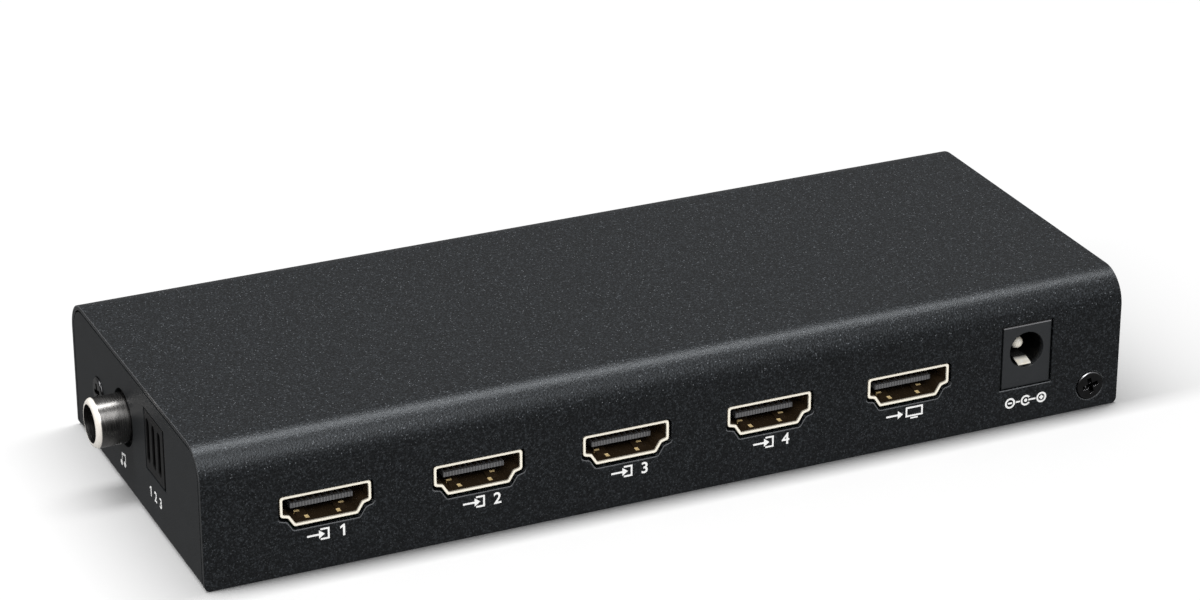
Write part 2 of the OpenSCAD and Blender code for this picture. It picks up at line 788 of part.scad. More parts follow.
module audio_jack_housing() {
    back_x = plate_x - audio_depth;
    boss_end = 1;
    boss_l = audio_screw_len - chassis_t + boss_end;
    color(black_colour) difference() {
        union() {
            translate([back_x, audio_y - audio_w / 2, board_top]) cube([audio_depth, audio_w, audio_h]);
            translate([plate_x - boss_l, audio_y - audio_screw_y, audio_screw_z])
                rod_x(audio_boss_d, boss_l);
            translate([plate_x - boss_l, audio_y - audio_screw_y, audio_screw_z - audio_boss_d / 4])
                cube([boss_l, audio_screw_y, audio_boss_d / 2]);
        }
        translate([plate_x - barrel_held, audio_y, audio_z])
            rod_x(barrel_held_d + 2 * press_room, barrel_held + over);
        translate([back_x - over, audio_y, audio_z]) rod_x(centre_hole_d, audio_depth);
        at_audio_screw() translate([0, 0, -audio_screw_len - screw_room])
            cylinder(d = shank_d + 2 * press_room, h = audio_screw_len);
    }
}

module audio_jack_barrel() {
    held = barrel_held + chassis_t;
    straight = barrel_out - barrel_rim_r;
    color(nickel_colour) translate([plate_x - barrel_held, audio_y, audio_z]) rotate([0, 90, 0])
        rotate_extrude() {
            translate([barrel_bore_d / 2, 0]) square([(barrel_held_d - barrel_bore_d) / 2, held]);
            translate([barrel_bore_d / 2, held]) square([barrel_wall, straight]);
            intersection() {
                translate([barrel_bore_d / 2, held]) square([barrel_wall, barrel_out]);
                union() {
                    translate([barrel_d / 2 - barrel_rim_r, held + straight]) circle(barrel_rim_r);
                    translate([0, held]) square([barrel_d / 2 - barrel_rim_r, barrel_out]);
                }
            }
        }
}

module audio_jack_insulator() {
    length = barrel_held + chassis_t + barrel_out - barrel_hollow;
    color(black_colour) translate([plate_x - barrel_held, audio_y, audio_z]) difference() {
        rod_x(barrel_bore_d - 2 * press_room, length);
        translate([-over, 0, 0]) rod_x(centre_hole_d, length + 2 * over);
    }
}

// Tube behind the centre hole that takes the plug's pin
module audio_jack_contact() {
    length = barrel_held + chassis_t + barrel_out - barrel_hollow - centre_inset;
    color(nickel_colour) translate([plate_x - barrel_held, audio_y, audio_z]) difference() {
        rod_x(centre_bore_d + 2 * centre_wall, length);
        translate([-over, 0, 0]) rod_x(centre_bore_d, length + 2 * over);
    }
}

module selector_housing() {
    back_x = dip_face_x - dip_depth;
    foot_l = plate_x - seam - back_x;
    foot_h = dip_lift + seam;
    color(black_colour) difference() {
        union() {
            translate([back_x, dip_y - dip_w / 2, dip_low]) cube([dip_depth, dip_w, dip_h]);
            translate([back_x, dip_y - dip_w / 2, board_top]) cube([foot_l, dip_w, foot_h]);
        }
        for (lever = [1:3]) translate([dip_face_x, lever_y(lever), slot_low]) lever_slot();
    }
}

// Room for one lever: a square pocket behind a round-ended window in the face
module lever_slot() {
    window_l = slot_skin + 2 * over;
    translate([-slot_depth, -slot_w / 2, 0]) cube([slot_depth - slot_skin, slot_w, slot_h]);
    translate([-slot_skin - over, -slot_w / 2, slot_w / 2]) cube([window_l, slot_w, slot_h - slot_w]);
    for (z = [slot_w / 2, slot_h - slot_w / 2])
        translate([-slot_skin - over, 0, z]) rod_x(slot_w, window_l);
}

// Sliding lever: a carriage on the slot's floor with a finger nub on it
module selector_lever(lever) {
    w = slot_w - 2 * lever_room;
    floor_x = dip_face_x - slot_depth + lever_room;
    color(grey_colour) translate([floor_x, lever_y(lever) - w / 2, slot_low + lever_room]) {
        cube([lever_carriage_depth, w, lever_h]);
        translate([0, 0, (lever_h - lever_nub_h) / 2])
            cube([slot_depth - lever_room - lever_inset, w, lever_nub_h]);
    }
}

// Round cap with a socket at its back for the plunger
module select_button() {
    length = select_proud + button_back_y - front_y;
    socket = plunger_out - select_travel - stop_room;
    color(black_colour) translate([select_x, front_y - select_proud, select_z]) difference() {
        rotate([-90, 0, 0]) rotate_extrude() {
            translate([0, select_round]) square([select_d / 2, length - select_round]);
            square([select_d / 2 - select_round, length]);
            translate([select_d / 2 - select_round, select_round]) intersection() {
                circle(select_round);
                translate([0, -select_round]) square(select_round);
            }
        }
        translate([0, length + over, 0]) rod_y(plunger_d + 2 * press_room, socket + over);
    }
}

module push_switch_plunger() {
    color(grey_colour) translate([select_x, tact_y + plunger_in, select_z])
        rod_y(plunger_d, plunger_in + plunger_out);
}

module push_switch_body() {
    guide = plunger_in + select_travel + stop_room;
    color(grey_colour) translate([select_x, tact_y, board_top]) difference() {
        slab(tact_w, tact_depth, tact_h);
        translate([0, guide, select_axis]) rod_y(plunger_d + 2 * guide_room, guide + over);
    }
}

// Round-nosed light along Y with its tip just behind the front wall
module light(x) {
    length = holder_y + led_holder_depth - light_back - led_tip_y - led_d / 2;
    color(light_colour) translate([x, led_tip_y + led_d / 2, led_z]) {
        sphere(d = led_d);
        translate([0, length, 0]) rod_y(led_d, length);
    }
}

module light_holders() {
    color(black_colour) for (x = [power_led_x, for (input = [1:4]) led_x(input)])
        translate([x, holder_y, board_top]) difference() {
            slab(led_holder_w, led_holder_depth, led_axis + led_d / 2 + holder_wall);
            translate([0, led_holder_depth + over, led_axis])
                rod_y(led_d + 2 * press_room, led_holder_depth + 2 * over);
        }
}

// Bent metal can with a barred lens hole and a small vent below it
module receiver_shield() {
    vent_d = 0.6;
    vent_at = [1.2, 1.3];
    color(nickel_colour) translate([ir_x, shield_y, board_top]) {
        difference() {
            slab(shield_w, shield_depth, shield_h);
            translate([0, shield_t, -over])
                slab(shield_w - 2 * shield_t, shield_depth + over, shield_h - shield_t + over);
            translate([0, shield_t + over, lens_z]) rod_y(lens_hole_d, shield_t + 2 * over);
            translate([vent_at.x, shield_t + over, vent_at.y]) rod_y(vent_d, shield_t + 2 * over);
        }
        intersection() {
            translate([0, shield_t, lens_z]) rod_y(lens_hole_d + shield_t, shield_t);
            translate([0, 0, lens_z]) for (turn = [-45, 45]) rotate([0, turn, 0])
                translate([0, 0, -lens_hole_d]) slab(lens_bar_w, shield_t, 2 * lens_hole_d);
        }
    }
}

// Moulded receiver with its round lens behind the barred hole
module receiver_lens() {
    room = 0.1;
    lens_d = lens_hole_d - 6 * room;
    body_y = lens_d / 2;
    body_w = shield_w - 2 * shield_t - 2 * room;
    body_h = shield_h - shield_t - receiver_lift - room;
    color(black_colour) translate([ir_x, shield_y, board_top]) {
        translate([0, body_y, receiver_lift]) slab(body_w, shield_depth - body_y, body_h);
        intersection() {
            translate([0, body_y + shield_t, lens_z]) sphere(d = lens_d);
            translate([0, shield_t + room, 0]) slab(shield_w, body_y, shield_h);
        }
    }
}

module receiver_leads() {
    lead_w = 0.5;
    lead_pitch = 1.8;
    color(nickel_colour) for (i = [-1:1])
        translate([ir_x + i * lead_pitch, shield_y + shield_depth - 2 * lead_w, board_top])
            slab(lead_w, lead_w, receiver_lift);
}

// Moulded chip on the board with bent leads along two or four sides
module chip(place, l, w, pins, sides) {
    lead_w = 0.3;
    lead_l = 1;
    foot_t = 0.2;
    lift = 0.1;
    translate([place.x, place.y, board_top]) {
        color(black_colour) translate([-l / 2, -w / 2, lift]) cube([l, w, chip_h - lift]);
        color(nickel_colour) for (turn = sides) rotate(turn) {
            half = (turn % 180 == 0 ? w : l) / 2;
            run = (turn % 180 == 0 ? l : w);
            for (i = [0:pins - 1]) translate([(i + 0.5) * run / pins - run / 2, half, 0]) {
                slab(lead_w, lead_l, foot_t);
                slab(lead_w, foot_t, chip_h / 2);
            }
        }
    }
}

module switch_chip() {
    chip(switch_chip_at, switch_chip_w, switch_chip_w, 16, [0, 90, 180, 270]);
}

module control_chip() {
    chip(control_chip_at, control_chip_l, small_chip_w, 8, [0, 180]);
}

module audio_chip() {
    chip(audio_chip_at, audio_chip_l, small_chip_w, 8, [0, 180]);
}

// Regulator with a cooling tab and three legs
module power_regulator() {
    tab_l = 1.8;
    tab_h = 0.4;
    chip(regulator_at, regulator_l, small_chip_w, 3, [0]);
    color(nickel_colour) translate([regulator_at.x, regulator_at.y - small_chip_w / 2 - tab_l, board_top])
        slab(regulator_l / 2, tab_l + tab_h, tab_h);
}

module power_inductor() {
    base_h = 0.8;
    color(grey_colour) translate([inductor_at.x, inductor_at.y, board_top]) {
        translate([0, -inductor_w / 2, 0]) slab(inductor_w, inductor_w, base_h);
        cylinder(d = inductor_w - base_h / 2, h = inductor_h);
    }
}

module smoothing_capacitors() {
    base_h = 1;
    for (place = capacitors_at) translate([place.x, place.y, board_top]) {
        color(black_colour) translate([0, -capacitor_d / 2, 0]) slab(capacitor_d, capacitor_d, base_h);
        color(nickel_colour) cylinder(d = capacitor_d - base_h / 5, h = capacitor_h);
    }
}

module clock_crystal() {
    run = (crystal_l - crystal_w) / 2;
    color(nickel_colour) translate([crystal_at.x, crystal_at.y, board_top]) linear_extrude(crystal_h) {
        square([2 * run, crystal_w], center = true);
        for (side = [-1, 1]) translate([side * run, 0]) circle(d = crystal_w);
    }
}

wrap_cover();
base_chassis();
cover_screws();
audio_jack_screw();
main_board();
board_standoffs();
board_screws();
hdmi_shell(0);  // hdmi_shell_in_1
hdmi_shell(1);  // hdmi_shell_in_2
hdmi_shell(2);  // hdmi_shell_in_3
hdmi_shell(3);  // hdmi_shell_in_4
hdmi_shell(4);  // hdmi_shell_out
hdmi_insulator(0);  // hdmi_insulator_in_1
hdmi_insulator(1);  // hdmi_insulator_in_2
hdmi_insulator(2);  // hdmi_insulator_in_3
hdmi_insulator(3);  // hdmi_insulator_in_4
hdmi_insulator(4);  // hdmi_insulator_out
hdmi_contacts(0);  // hdmi_contacts_in_1
hdmi_contacts(1);  // hdmi_contacts_in_2
hdmi_contacts(2);  // hdmi_contacts_in_3
hdmi_contacts(3);  // hdmi_contacts_in_4
hdmi_contacts(4);  // hdmi_contacts_out
dc_jack_housing();
dc_jack_pin();
dc_jack_spring();
audio_jack_housing();
audio_jack_barrel();
audio_jack_insulator();
audio_jack_contact();
selector_housing();
selector_lever(1);  // selector_lever_1
selector_lever(2);  // selector_lever_2
selector_lever(3);  // selector_lever_3
select_button();
push_switch_plunger();
push_switch_body();
light(power_led_x);  // power_light
light(led_x(1));  // input_light_1
light(led_x(2));  // input_light_2
light(led_x(3));  // input_light_3
light(led_x(4));  // input_light_4
light_holders();
receiver_shield();
receiver_lens();
receiver_leads();
switch_chip();
control_chip();
audio_chip();
power_regulator();
power_inductor();
smoothing_capacitors();
clock_crystal();
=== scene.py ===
"""Looks of a four-input HDMI switch box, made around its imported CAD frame."""

import json
import math

import bmesh
import bpy
from mathutils import Matrix, Vector


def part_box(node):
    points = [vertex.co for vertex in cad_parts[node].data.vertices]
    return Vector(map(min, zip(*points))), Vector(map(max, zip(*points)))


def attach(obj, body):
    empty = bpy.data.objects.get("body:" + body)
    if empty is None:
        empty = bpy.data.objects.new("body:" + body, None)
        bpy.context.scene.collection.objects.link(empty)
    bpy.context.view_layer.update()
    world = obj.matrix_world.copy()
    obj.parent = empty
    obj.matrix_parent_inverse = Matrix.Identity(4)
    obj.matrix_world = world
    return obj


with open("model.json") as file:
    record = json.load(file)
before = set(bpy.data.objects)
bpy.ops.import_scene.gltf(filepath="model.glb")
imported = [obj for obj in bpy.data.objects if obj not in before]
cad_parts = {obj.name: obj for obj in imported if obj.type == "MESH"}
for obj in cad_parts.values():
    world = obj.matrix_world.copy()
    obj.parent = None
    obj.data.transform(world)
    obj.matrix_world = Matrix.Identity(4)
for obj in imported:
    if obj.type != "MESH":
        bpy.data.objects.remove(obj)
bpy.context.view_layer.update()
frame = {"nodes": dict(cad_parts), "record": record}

MM = 0.001

# Faces of the case and its sockets, read from the frame
case_low, case_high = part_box("wrap_cover")
FRONT_Y, REAR_Y = case_low.y, case_high.y
AUDIO_END_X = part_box("base_chassis")[1].x
first_low, first_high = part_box("hdmi_shell_in_1")
second_low, second_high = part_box("hdmi_shell_in_2")
SOCKET_X = (first_low.x + first_high.x) / 2
SOCKET_PITCH = SOCKET_X - (second_low.x + second_high.x) / 2
SOCKET_RIM_Y = first_high.y
SOCKET_TOP_Z = first_high.z
SELECTOR_FACE_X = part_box("selector_housing")[1].x
DC_FACE_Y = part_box("dc_jack_housing")[1].y
DC_TOP_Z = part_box("dc_jack_housing")[1].z
barrel_low, barrel_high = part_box("audio_jack_barrel")
BARREL_RIM_X = barrel_high.x
BARREL_Y = (barrel_low.y + barrel_high.y) / 2
BARREL_Z = (barrel_low.z + barrel_high.z) / 2
BARREL_RIM_WIDTH = 0.95 * MM
BARREL_BORE_R = (barrel_high.z - barrel_low.z) / 2 - BARREL_RIM_WIDTH


# Colours, in linear light

PAINT_BLACK = (0.0005, 0.0006, 0.0008, 1)
PAINT_LIGHT = (0.0285, 0.0330, 0.0378, 1)
# Painted highlight on edges of the cover that turn up
PAINTED_EDGE_HIGHLIGHT = (0.180, 0.186, 0.195, 1)
# Painted glints in the cover's colour
GLINT = (0.130, 0.139, 0.150, 1)
COOL_SHEEN = (0.90, 0.95, 1.0, 1)
CHARCOAL = (0.0110, 0.0126, 0.0142, 1)
CHARCOAL_LIGHT = (0.0137, 0.0155, 0.0173, 1)
JACK_CHARCOAL = (0.0205, 0.0225, 0.0250, 1)
JACK_CHARCOAL_LIGHT = (0.0230, 0.0250, 0.0275, 1)
FILTER_BLACK = (0.006, 0.004, 0.0045, 1)
FILTER_BLACK_LIGHT = (0.008, 0.005, 0.006, 1)
BOARD_GREEN = (0.010, 0.075, 0.035, 1)
BOARD_GREEN_LIGHT = (0.014, 0.095, 0.045, 1)
PRINT_WHITE = (0.98, 0.98, 0.97, 1)
PRINT_THIN = (0.88, 0.88, 0.87, 1)
PALE_GOLD = (1.0, 0.95, 0.82, 1)
PALE_GOLD_WORN = (0.96, 0.88, 0.70, 1)
EDGE_GOLD = (0.22, 0.15, 0.07, 1)
# Painted highlight on patches of the sockets' floors, and painted shade inside the sockets
PAINTED_HIGHLIGHT_GOLD = (0.95, 0.72, 0.36, 1)
PAINTED_SHADE_GOLD = (0.030, 0.019, 0.010, 1)
DARK_CHROME = (0.17, 0.165, 0.16, 1)
DARK_CHROME_LIGHT = (0.23, 0.225, 0.22, 1)
NICKEL = (0.46, 0.445, 0.425, 1)
NICKEL_WORN = (0.40, 0.39, 0.37, 1)
# Painted highlight of the audio barrel's rim
PAINTED_HIGHLIGHT_NICKEL = (0.92, 0.87, 0.80, 1)
TIN = (1.0, 0.99, 0.96, 1)
SHIELD_TIN = (0.88, 0.87, 0.85, 1)
SHIELD_TIN_WORN = (0.76, 0.75, 0.73, 1)


def grey(level):
    """A grey with a trace of blue."""
    return (level, level, level * 1.03, 1)


# Grain of the finishes

NOISE_DETAIL = 2.0
BEVEL_SAMPLES = 4
PEBBLE = 0.3 * MM
GLINT_CELL = 0.24 * MM
GLINT_SHARE = 0.16  # of the cells have a glint
GLINT_REACH = 0.4  # of a cell is its radius
PLASTIC_GRAIN = 0.12 * MM
DRAWN_LENGTH = 2 * MM
CONTACT_PITCH = 0.5 * MM

# Painted highlights on a socket's floor, in mm: distance from its middle, half width, depth behind
# the rim and half length
FLOOR_HIGHLIGHT_NEAR = (2.6, 0.32, 1.55, 0.45)
FLOOR_HIGHLIGHT_DEEP = (3.7, 0.45, 3.3, 0.2)
SOCKET_FLOOR_DROP = 4 * MM


# Materials

class Finish:
    """A node-based material with its shader at hand, and places in the frame in metres."""

    def __init__(self, name, color, roughness, metallic=0.0, specular=0.5):
        self.material = bpy.data.materials.new(name)
        self.material.use_nodes = True
        self.tree = self.material.node_tree
        self.shader = self.tree.nodes["Principled BSDF"]
        self.set(Base_Color=color, Roughness=roughness, Metallic=metallic,
                 Specular_IOR_Level=specular)
        where = self.tree.nodes.new("ShaderNodeTexCoord")
        self.place, self.normal = where.outputs["Object"], where.outputs["Normal"]

    def set(self, **values):
        """Sets sockets of the shader, with _ for each space in a name."""
        for name, value in values.items():
            self.shader.inputs[name.replace("_", " ")].default_value = value

    def drive(self, name, output):
        """Joins an output to a socket of the shader."""
        self.tree.links.new(output, self.shader.inputs[name])

    def feed(self, socket, value):
        """Sets an input to a value, or joins it to an output."""
        if isinstance(value, bpy.types.NodeSocket):
            self.tree.links.new(value, socket)
        else:
            socket.default_value = value

    def node(self, kind, **inputs):
        """A new node with its inputs fed by name, with _ for each space."""
        made = self.tree.nodes.new("ShaderNode" + kind)
        for name, value in inputs.items():
            self.feed(made.inputs[name.replace("_", " ")], value)
        return made

    def operate(self, kind, operation, *values):
        """A new node of maths with its inputs fed in their order."""
        made = self.tree.nodes.new("ShaderNode" + kind)
        made.operation = operation
        for socket, value in zip(made.inputs, values):
            self.feed(socket, value)
        return made

    def math(self, operation, *values):
        """Result of an operation on numbers."""
        return self.operate("Math", operation, *values).outputs["Value"]

    def part(self, vector, axis):
        """X, Y or Z of a vector."""
        return self.node("SeparateXYZ", Vector=vector).outputs[axis]

    def ramp(self, value, start, end, low=0.0, high=1.0):
        """A value that goes from low to high while another goes from start to end."""
        return self.node("MapRange", Value=value, From_Min=start, From_Max=end, To_Min=low,
                         To_Max=high).outputs["Result"]

    def spread(self, value, low, high):
        """The middle half of a noise, spread between two numbers."""
        return self.ramp(value, 0.25, 0.75, low, high)

    def noise(self, size):
        """Noise whose grains are about size metres across."""
        return self.node("TexNoise", Vector=self.place, Scale=1 / size,
                         Detail=NOISE_DETAIL).outputs["Fac"]

    def stretched_noise(self, sizes):
        """Noise with its own grain size along each axis, for drawn and turned metal."""
        scaled = self.node("Mapping", Vector=self.place, Scale=[1 / size for size in sizes])
        return self.node("TexNoise", Vector=scaled.outputs["Vector"], Scale=1.0,
                         Detail=NOISE_DETAIL).outputs["Fac"]

    def mix(self, factor, first, second):
        """A colour between two."""
        made = self.tree.nodes.new("ShaderNodeMix")
        made.data_type = "RGBA"
        for index, value in ((0, factor), (6, first), (7, second)):
            self.feed(made.inputs[index], value)
        return made.outputs[2]

    def mottle(self, size, first, second):
        """A colour that wanders between two in patches of the given size."""
        return self.mix(self.spread(self.noise(size), 0, 1), first, second)

    def depth(self, face_y, start, end):
        """0 at one depth behind a rear face, and 1 at a greater one."""
        return self.ramp(self.part(self.place, "Y"), face_y - start, face_y - end)

    def from_axis(self, y, z):
        """Distance from a line along X."""
        across = self.math("SUBTRACT", self.part(self.place, "Y"), y)
        up = self.math("SUBTRACT", self.part(self.place, "Z"), z)
        squares = self.math("MULTIPLY", across, across), self.math("MULTIPLY", up, up)
        return self.math("SQRT", self.math("ADD", *squares))

    def rounded(self, radius):
        """Normal of the surface with its edges rounded by a small radius."""
        bevel = self.node("Bevel", Radius=radius)
        bevel.samples = BEVEL_SAMPLES
        return bevel.outputs["Normal"]

    def edge_turn(self, radius):
        """How far rounding turns the normal, which is not at all away from an edge."""
        turn = self.operate("VectorMath", "SUBTRACT", self.rounded(radius), self.normal)
        return turn.outputs["Vector"]

    def upward_edge_highlight(self, radius):
        """1 on an edge where rounding turns the normal up, the place of a painted highlight."""
        return self.ramp(self.part(self.edge_turn(radius), "Z"), 0.03, 0.2)

    def any_edge(self, radius):
        """1 on every edge."""
        turn = self.operate("VectorMath", "LENGTH", self.edge_turn(radius))
        return self.ramp(turn.outputs["Value"], 0.05, 0.3)

    def relief(self, height, depth, strength, edge=0.0):
        """Bump of the given depth in metres, over edges rounded by a small radius."""
        bump = self.node("Bump", Height=height, Strength=strength, Distance=depth)
        if edge:
            self.feed(bump.inputs["Normal"], self.rounded(edge))
        self.drive("Normal", bump.outputs["Normal"])

    def skin(self, grain, smoothest, roughest, depth, strength, edge):
        """A grain that shows in the roughness and in the relief."""
        self.drive("Roughness", self.spread(grain, smoothest, roughest))
        self.relief(grain, depth, strength, edge)

    def moulded_skin(self, smoothest, roughest, edge):
        """The fine spark-eroded skin of a moulded part."""
        self.skin(self.noise(PLASTIC_GRAIN), smoothest, roughest, 0.008 * MM, 0.4, edge)


def cover_paint():
    """Black powder coat: a fine pebbled skin with scattered glints of metal painted into its
    colour, and a painted highlight on edges turned up.
    """
    finish = Finish("cover_paint", PAINT_BLACK, 0.4)
    finish.set(Specular_Tint=COOL_SHEEN)
    # Pale specks in the colour: painted glints of metal flakes.
    cells = finish.node("TexVoronoi", Vector=finish.place, Scale=1 / GLINT_CELL)
    chance = finish.node("SeparateColor", Color=cells.outputs["Color"])
    rare = finish.math("GREATER_THAN", chance.outputs["Red"], 1 - GLINT_SHARE)
    small = finish.math("LESS_THAN", cells.outputs["Distance"], GLINT_REACH)
    bright = finish.math("POWER", chance.outputs["Green"], 2.0)
    glint = finish.math("MULTIPLY", finish.math("MULTIPLY", rare, small), bright)
    pebbles = finish.noise(PEBBLE)
    crests = finish.math("POWER", finish.spread(pebbles, 0, 1), 3.0)
    coat = finish.mix(glint, finish.mix(crests, PAINT_BLACK, PAINT_LIGHT), GLINT)
    # Edges turned up get a pale painted highlight.
    finish.drive("Base Color", finish.mix(finish.upward_edge_highlight(0.35 * MM), coat, PAINTED_EDGE_HIGHLIGHT))
    finish.skin(pebbles, 0.30, 0.46, 0.05 * MM, strength=0.9, edge=0.1 * MM)
    return finish.material


def chassis_paint():
    """Smooth satin charcoal of the end plates and the underside."""
    finish = Finish("chassis_paint", CHARCOAL, 0.5, specular=0.35)
    finish.drive("Base Color", finish.mottle(3 * MM, CHARCOAL, CHARCOAL_LIGHT))
    finish.skin(finish.noise(0.2 * MM), 0.46, 0.58, 0.012 * MM, strength=0.5, edge=0.16 * MM)
    return finish.material


def plated(name, color, worn, roughness, grain, metallic=1.0):
    """Plated metal with a slight drawn grain and small changes of tone."""
    finish = Finish(name, color, roughness, metallic=metallic)
    finish.drive("Base Color", finish.mottle(1.2 * MM, color, worn))
    drawn = finish.stretched_noise((grain, DRAWN_LENGTH, grain))
    finish.skin(drawn, roughness * 0.75, roughness * 1.3, 0.006 * MM, strength=0.3,
                edge=0.06 * MM)
    return finish.material


def socket_plate():
    """Pale gold plating of the sockets, bright at the rim, with painted shade inside and painted
    highlights on patches of the floor.
    """
    finish = Finish("gold_plate", PALE_GOLD, 0.3)
    along = finish.math("SUBTRACT", finish.part(finish.place, "X"), SOCKET_X)
    from_middle = finish.math("PINGPONG", along, SOCKET_PITCH / 2)
    depth = finish.math("SUBTRACT", SOCKET_RIM_Y, finish.part(finish.place, "Y"))

    def patch(middle, half_width, deep, half_length):
        """1 on a patch to either side of a socket's middle, its sizes in mm."""
        across = finish.math("COMPARE", from_middle, middle * MM, half_width * MM)
        inward = finish.math("COMPARE", depth, deep * MM, half_length * MM)
        return finish.math("MULTIPLY", across, inward)

    # Patches of painted highlight on the socket's floor.
    floor_highlights = finish.math("ADD", patch(*FLOOR_HIGHLIGHT_NEAR), patch(*FLOOR_HIGHLIGHT_DEEP))
    height = finish.part(finish.place, "Z")
    on_floor = finish.math("LESS_THAN", height, SOCKET_TOP_Z - SOCKET_FLOOR_DROP)
    shade_and_highlights = finish.mix(finish.math("MULTIPLY", floor_highlights, on_floor), PAINTED_SHADE_GOLD, PAINTED_HIGHLIGHT_GOLD)
    rim = finish.mix(finish.any_edge(0.13 * MM), PALE_GOLD, EDGE_GOLD)
    # Painted shade deeper than the rim.
    inside = finish.ramp(depth, 0.05 * MM, 0.3 * MM)
    finish.drive("Base Color", finish.mix(inside, rim, shade_and_highlights))
    drawn = finish.stretched_noise((0.2 * MM, DRAWN_LENGTH, 0.2 * MM))
    finish.skin(drawn, 0.24, 0.4, 0.004 * MM, strength=0.25, edge=0.08 * MM)
    return finish.material


def barrel_plate():
    """Dark chrome of the audio barrel, with its turned rim pale and hardly metallic as a painted
    highlight.
    """
    finish = Finish("barrel_plate", DARK_CHROME, 0.14, metallic=1.0)
    x = finish.part(finish.place, "X")
    near_end = finish.ramp(x, BARREL_RIM_X - 0.85 * MM, BARREL_RIM_X - 0.7 * MM)
    from_middle = finish.from_axis(BARREL_Y, BARREL_Z)
    outside = finish.math("GREATER_THAN", from_middle, BARREL_BORE_R)
    rim = finish.math("MULTIPLY", near_end, outside)
    body = finish.mottle(1.5 * MM, DARK_CHROME, DARK_CHROME_LIGHT)
    # The rim is a painted highlight: pale and hardly metallic.
    finish.drive("Base Color", finish.mix(rim, body, PAINTED_HIGHLIGHT_NICKEL))
    finish.drive("Metallic", finish.ramp(rim, 0, 1, 1.0, 0.2))
    turned = finish.stretched_noise((0.12 * MM, 3 * MM, 3 * MM))
    finish.skin(turned, 0.2, 0.34, 0.004 * MM, strength=0.3, edge=0.06 * MM)
    return finish.material


def contact_metal(name, node, bright_length):
    """Tinned contact of the DC jack, bright at its end, with painted shade down the bore behind.
    """
    finish = Finish(name, TIN, 0.3)
    end_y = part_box(node)[1].y
    bright = finish.mottle(0.8 * MM, TIN, PALE_GOLD_WORN)
    # Painted shade deeper in the bore.
    bore_shade = finish.depth(end_y, bright_length, 2 * bright_length)
    finish.drive("Base Color", finish.mix(bore_shade, bright, grey(0.02)))
    finish.skin(finish.noise(0.2 * MM), 0.22, 0.36, 0.004 * MM, strength=0.3, edge=0.15 * MM)
    return finish.material


def screw_black(name, axis, face, highlight_grey):
    """Black oxide of screws in a wall across an axis, with a painted highlight on faces turned up,
    and painted shade and painted glints in the cross.
    """
    finish = Finish(name, grey(0.03), 0.3, metallic=1.0)
    out = finish.math("ABSOLUTE", finish.part(finish.place, axis))
    # Painted shade in the cross, with painted glints.
    recess_shade = finish.ramp(out, face - 0.25 * MM, face - 0.4 * MM)
    glint = finish.ramp(finish.noise(0.6 * MM), 0.6, 0.66)
    cross_shade_and_glints = finish.mix(glint, grey(0.004), grey(0.9))
    # Painted highlight on faces turned up.
    upward_highlight = finish.ramp(finish.part(finish.normal, "Z"), 0.3, 0.7)
    head = finish.mix(upward_highlight, finish.mottle(0.6 * MM, grey(0.035), grey(0.05)), grey(highlight_grey))
    finish.drive("Base Color", finish.mix(recess_shade, head, cross_shade_and_glints))
    finish.skin(finish.noise(0.15 * MM), 0.2, 0.32, 0.006 * MM, strength=0.4, edge=0.15 * MM)
    return finish.material


def moulded(name, color, pale, roughness, specular=0.45):
    """Moulded plastic of one colour."""
    finish = Finish(name, color, roughness, specular=specular)
    finish.drive("Base Color", finish.mottle(1.5 * MM, color, pale))
    finish.moulded_skin(roughness * 0.85, roughness * 1.15, edge=0.08 * MM)
    return finish.material


def tongue_plastic():
    """Grey plastic of the sockets' tongues, ribbed between the contacts."""
    finish = Finish("tongue_plastic", grey(0.13), 0.5)
    across = finish.math("PINGPONG", finish.part(finish.place, "X"), CONTACT_PITCH / 2)
    rib = finish.ramp(across, 0.1 * MM, 0.15 * MM)
    between = finish.mottle(0.5 * MM, grey(0.09), grey(0.12))
    finish.drive("Base Color", finish.mix(rib, between, grey(0.18)))
    finish.moulded_skin(0.42, 0.56, edge=0.08 * MM)
    return finish.material


def jack_plastic():
    """Charcoal plastic of the DC jack, with a painted highlight along its top and painted shade
    down the bore.
    """
    finish = Finish("jack_plastic", grey(0.012), 0.42)
    # Painted highlight along the jack's top edge.
    top_edge_highlight = finish.math("COMPARE", finish.part(finish.place, "Z"), DC_TOP_Z, 0.2 * MM)
    face = finish.mottle(1.5 * MM, JACK_CHARCOAL, JACK_CHARCOAL_LIGHT)
    outside = finish.mix(top_edge_highlight, face, grey(0.2))
    # Painted shade down the bore.
    bore_shade = finish.depth(DC_FACE_Y, 0.3 * MM, 1.2 * MM)
    finish.drive("Base Color", finish.mix(bore_shade, outside, grey(0.0015)))
    finish.moulded_skin(0.36, 0.48, edge=0.15 * MM)
    return finish.material


def slotted_plastic():
    """Black plastic of the selector, with painted shade deep in its slots."""
    finish = Finish("slotted_plastic", grey(0.012), 0.5, specular=0.15)
    x = finish.part(finish.place, "X")
    # Painted shade inside the slots.
    recess_shade = finish.ramp(x, SELECTOR_FACE_X - 0.1 * MM, SELECTOR_FACE_X - 0.3 * MM)
    face = finish.mottle(1.5 * MM, grey(0.012), grey(0.015))
    finish.drive("Base Color", finish.mix(recess_shade, face, grey(0.0006)))
    finish.moulded_skin(0.42, 0.58, edge=0.1 * MM)
    return finish.material


def print_ink():
    """White screen print, a little thin in patches."""
    finish = Finish("print_ink", PRINT_WHITE, 0.6, specular=0.3)
    finish.drive("Base Color", finish.mottle(0.5 * MM, PRINT_WHITE, PRINT_THIN))
    finish.relief(finish.noise(0.1 * MM), 0.004 * MM, strength=0.3)
    return finish.material


